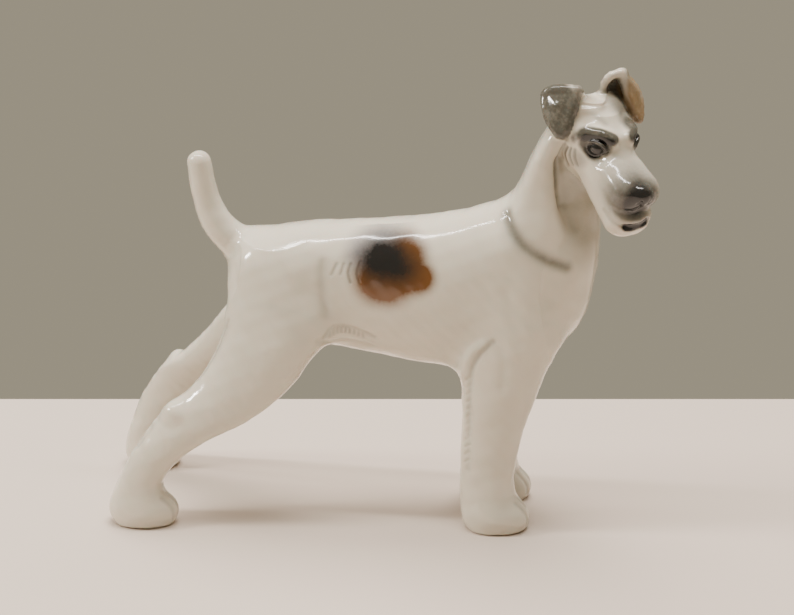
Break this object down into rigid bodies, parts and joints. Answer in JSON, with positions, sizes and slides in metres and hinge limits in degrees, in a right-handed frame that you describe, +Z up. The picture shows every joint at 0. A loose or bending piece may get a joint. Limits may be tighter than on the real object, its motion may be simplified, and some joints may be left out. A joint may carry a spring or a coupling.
{
  "type": "ceramic dog figurine",
  "caption": "Glazed porcelain figurine of a standing wire-haired terrier with docked tail, folded ears and its head turned to its right, luted together from hollow and solid castings.",
  "frame": {"origin": "on the floor under the middle of the bounding box", "axes": "+X the way the dog's body faces, +Y the dog's left, +Z up"},
  "size_m": [0.218, 0.0768, 0.1782],
  "materials": {
    "glazed_porcelain": "glossy clear glaze over off-white porcelain with airbrushed underglaze markings"
  },
  "bodies": {
    "root": {"torso": "glazed_porcelain", "neck": "glazed_porcelain", "head": "glazed_porcelain", "right_ear": "glazed_porcelain", "left_ear": "glazed_porcelain", "tail": "glazed_porcelain", "right_foreleg": "glazed_porcelain", "left_foreleg": "glazed_porcelain", "right_hind_leg": "glazed_porcelain", "left_hind_leg": "glazed_porcelain"}
  },
  "joints": []
}
